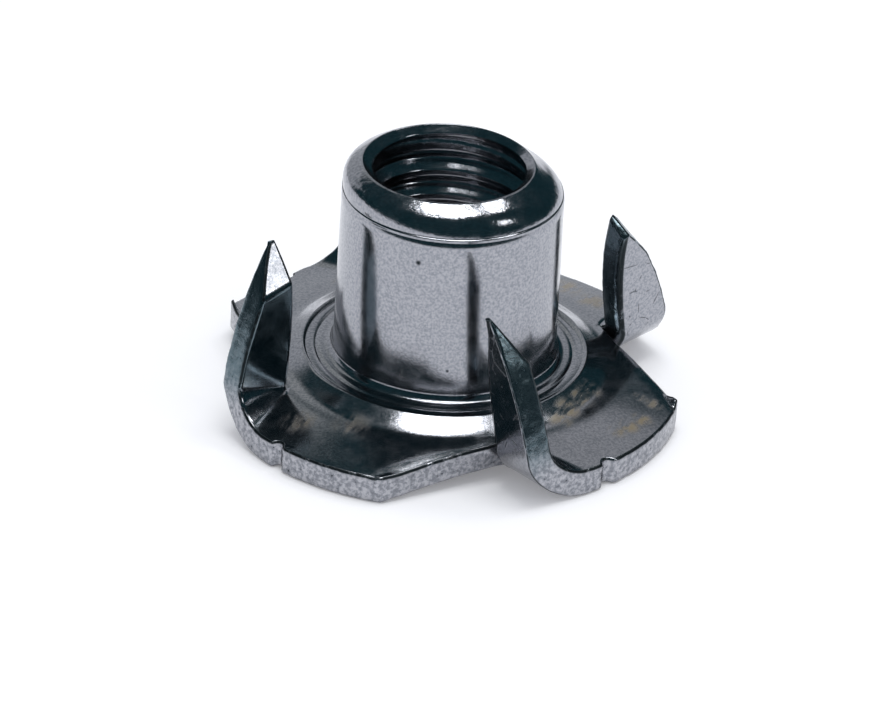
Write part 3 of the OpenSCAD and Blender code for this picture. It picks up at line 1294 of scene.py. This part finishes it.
    def film_mask(self, bench: NodeBench, place: Socket) -> Socket:
        """Where the tan film lies.

        Args:
            bench: Bench of the material.
            place: Coordinates.

        Returns:
            The film's share.
        """
        total: Any = 0.0
        for stain in self.stains:
            ball = self.near(bench, place, stain.centre, stain.reach)
            total = bench.math("MAXIMUM", total, bench.math("MULTIPLY", ball, stain.strength))
        wiped = {"Rotation": (0.0, 0.0, self.film_turn), "Scale": (self.film_stretch, 1.0, 1.0)}
        turned = bench.node("ShaderNodeMapping", {"Vector": place, **wiped}, vector_type="TEXTURE")
        wisps = bench.cloud(turned.outputs[0], self.film_waves, 3.0)
        return bench.math("MULTIPLY", total, bench.ease(wisps, 0.36, 0.62))

    def pit_mask(self, bench: NodeBench, place: Socket) -> Socket:
        """Where the small pits lie.

        Args:
            bench: Bench of the material.
            place: Coordinates.

        Returns:
            The pits' share.
        """
        total: Any = 0.0
        for x, y, z, reach in self.pits:
            total = bench.math("MAXIMUM", total, self.near(bench, place, (x, y, z), reach))
        return total


@dataclass(frozen=True)
class WhiteFloor:
    """White paper that keeps the object's shadow; it ends a little way in front of the nut."""

    side: float = 0.5
    front: float = 0.055
    back: float = 0.8
    colour: Colour = (0.86, 0.87, 0.89)
    glow: Colour = (0.155, 0.153, 0.155)

    def make(self) -> bpy.types.Object:
        """Lays the floor.

        Returns:
            The staged floor.
        """
        mesh = bpy.data.meshes.new("floor")
        x, near, far = self.side, -self.front, self.back
        mesh.from_pydata([(-x, near, 0), (x, near, 0), (x, far, 0), (-x, far, 0)], [], [(0, 1, 2, 3)])
        floor = bpy.data.objects.new("floor", mesh)
        bpy.context.scene.collection.objects.link(floor)
        material = bpy.data.materials.new("white_paper")
        bench = NodeBench.cleared(material)
        path = bench.node("ShaderNodeLightPath").outputs
        seen = bench.math("MAXIMUM", path["Is Camera Ray"], path["Is Glossy Ray"])
        seen = bench.math("MAXIMUM", seen, path["Is Transmission Ray"])
        paper = bench.node("ShaderNodeBsdfDiffuse", {"Color": (*self.colour, 1.0)})
        glow = bench.node("ShaderNodeEmission", {"Color": (*self.glow, 1.0), "Strength": seen})
        both = bench.node("ShaderNodeAddShader", {0: paper.outputs[0], 1: glow.outputs[0]})
        bench.node("ShaderNodeOutputMaterial", {"Surface": both.outputs[0]})
        mesh.materials.append(material)
        return floor


@dataclass(frozen=True)
class Softbox:
    """A soft lamp that looks at the nut: the way to it, how far it hangs, its size and its glow."""

    way: Place
    away: float
    size: tuple[float, float]
    glow: float

    def make(self, name: str) -> None:
        """Hangs the lamp.

        Args:
            name: Name of the lamp.
        """
        lamp = bpy.data.lights.new(name, "AREA")
        lamp.shape = "RECTANGLE"
        lamp.size, lamp.size_y = self.size
        lamp.energy = self.glow * math.pi * lamp.size * lamp.size_y
        holder = bpy.data.objects.new(name, lamp)
        way = Vector(self.way).normalized()
        holder.location = way * self.away
        holder.rotation_euler = way.to_track_quat("Z", "Y").to_euler()
        bpy.context.scene.collection.objects.link(holder)


@dataclass(frozen=True)
class Card:
    """A soft round card in the room that the steel mirrors: the way to it, its reach and its tone."""

    way: Place
    reach: float
    tone: Colour


@dataclass(frozen=True)
class Studio:
    """Softboxes overhead and to the right, grey cards and a sweep behind, and a dark room round them."""

    strip: Softbox = Softbox((0.02, 0.03, 0.999), 0.30, (0.14, 0.11), 6.5)
    key: Softbox = Softbox((0.36, 0.25, 0.898), 0.30, (0.06, 0.06), 6.0)
    right: Softbox = Softbox((0.76, -0.345, 0.55), 0.30, (0.05, 0.05), 4.5)
    front: Softbox = Softbox((-0.05, -0.27, 0.962), 0.30, (0.11, 0.02), 6.0)
    dark: Colour = (0.010, 0.040, 0.050)
    sweep: Colour = (0.52, 0.54, 0.57)
    ambient: Colour = (0.60, 0.61, 0.64)
    sweep_top: float = 0.53
    sweep_right: float = 0.22
    sweep_left: float = 1.7
    top_soft: float = 0.03
    side_soft: float = 0.06
    cards: tuple[Card, ...] = (
        Card((-0.31, 0.73, 0.61), 0.26, (0.46, 0.48, 0.48)),
        Card((0.222, 0.684, 0.695), 0.20, (0.50, 0.51, 0.53)),
    )

    def make(self) -> None:
        """Sets the lamps and the world."""
        lamps = {"strip": self.strip, "key": self.key, "right": self.right, "front": self.front}
        for name, lamp in lamps.items():
            lamp.make("softbox_" + name)
        self.room()

    def room(self) -> None:
        """Gives reflections a sweep low down behind, two cards above it and a dark room elsewhere."""
        world = bpy.data.worlds.new("studio")
        bpy.context.scene.world = world
        bench = NodeBench.cleared(world)
        look = bench.node("ShaderNodeTexCoord").outputs["Generated"]
        way = bench.node("ShaderNodeSeparateXYZ", {0: look}).outputs
        white = bench.ease(way["Z"], self.sweep_top + self.top_soft, self.sweep_top - self.top_soft)
        right = bench.math("SUBTRACT", bench.math("MULTIPLY", way["Y"], self.sweep_right), way["X"])
        left = bench.math("ADD", bench.math("MULTIPLY", way["Y"], self.sweep_left), way["X"])
        for side in (right, left):
            white = bench.math("MULTIPLY", white, bench.ease(side, -self.side_soft, self.side_soft))
        seen = bench.mix(white, self.dark, self.sweep)
        for card in self.cards:
            away = bench.node("ShaderNodeVectorMath", {0: look, 1: card.way}, operation="DISTANCE")
            share = bench.ease(away.outputs["Value"], card.reach, 0.5 * card.reach)
            seen = bench.mix(share, seen, card.tone)
        path = bench.node("ShaderNodeLightPath").outputs
        shiny = bench.math("MAXIMUM", path["Is Glossy Ray"], path["Is Transmission Ray"])
        colour = bench.mix(shiny, self.ambient, seen)
        colour = bench.mix(path["Is Camera Ray"], colour, (1.0, 1.0, 1.0))
        back = bench.node("ShaderNodeBackground", {"Color": colour, "Strength": 1.0})
        bench.node("ShaderNodeOutputWorld", {"Surface": back.outputs[0]})


@dataclass(frozen=True)
class PhotoCamera:
    """The camera of the photograph, fitted to its outlines. Distances in millimetres."""

    elevation_deg: float = 29.375
    roll_deg: float = 3.329
    away: float = 250.0
    right: float = 0.0624
    up: float = 1.362
    lens: float = 221.25
    sensor: float = 36.0

    def make(self) -> None:
        """Adds the camera and makes it the scene's own."""
        e, roll = math.radians(self.elevation_deg), math.radians(self.roll_deg)
        across = Vector((1, 0, 0))
        lift = Vector((0, math.sin(e), math.cos(e)))
        back = Vector((0, -math.cos(e), math.sin(e)))
        right = math.cos(roll) * across + math.sin(roll) * lift
        up = math.cos(roll) * lift - math.sin(roll) * across
        data = bpy.data.cameras.new("photo_camera")
        data.lens, data.sensor_width = self.lens, self.sensor
        data.clip_start, data.clip_end = 0.01, 10.0
        camera = bpy.data.objects.new("photo_camera", data)
        turn = Matrix((right, up, back)).transposed().to_4x4()
        place = MM * (self.away * back + self.right * right + self.up * up)
        camera.matrix_world = Matrix.Translation(place) @ turn
        bpy.context.scene.collection.objects.link(camera)
        bpy.context.scene.camera = camera


@dataclass
class TeeNut:
    """The whole nut: the pressing, its thread, its handwork and its finish."""

    pressing: Pressing = field(default_factory=Pressing)
    thread: ThreadedRound = field(default_factory=ThreadedRound)
    finish: PlatedSteel = field(default_factory=PlatedSteel)

    def prong_sets(self) -> dict[Quarter, ProngSet]:
        """Lists how each prong was bent and each corner torn.

        Returns:
            Differences from the pattern, by quarter.
        """
        return {
            Quarter.RIGHT_BACK: ProngSet(
                turn_deg=0.2, tip_round=0.1, tip_blunt=0.9, tip_slant=0.45, tip_rise=-0.5, lift=0.1
            ),
            Quarter.LEFT_BACK: ProngSet(turn_deg=-0.8, lift=0.2, corner_deg=-11.0, corner_lift=0.45),
            Quarter.LEFT_FRONT: ProngSet(
                turn_deg=2.0, tip_out=0.25, tip_round=-0.1, tip_rise=0.3,
                corner_deg=0.9, corner_in=0.1, burr=0.1,
            ),
            Quarter.RIGHT_FRONT: ProngSet(turn_deg=-2.4, burr=0.35),
        }

    def make(self) -> bpy.types.Object:
        """Builds, dresses and hangs the nut on its body.

        Returns:
            The finished piece.
        """
        material = self.finish.make()
        whole = self.thread.apply(self.pressing.build(), material)
        whole.name = "tee_nut_pressing"
        Handwork(self.pressing, self.thread.bearing_deg, self.prong_sets()).apply(whole)
        whole.transform(Matrix.Scale(MM, 4))
        whole.shade_smooth()
        piece = bpy.data.objects.new("tee_nut_pressing", whole)
        bpy.context.scene.collection.objects.link(piece)
        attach(piece, BODY)
        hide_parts(NODE)
        return piece


def main() -> None:
    """Builds the scene in order."""
    logging.basicConfig(level=logging.INFO, format="%(name)s: %(message)s")
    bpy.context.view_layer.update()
    bpy.context.scene.view_settings.view_transform = "Standard"
    PhotoCamera().make()
    floor = WhiteFloor().make()
    LOG.info("%s: staged, white paper", floor.name)
    Studio().make()
    nut = TeeNut().make()
    LOG.info("%s: %d points, %d faces", nut.name, len(nut.data.vertices), len(nut.data.polygons))


if __name__ == "__main__":
    main()
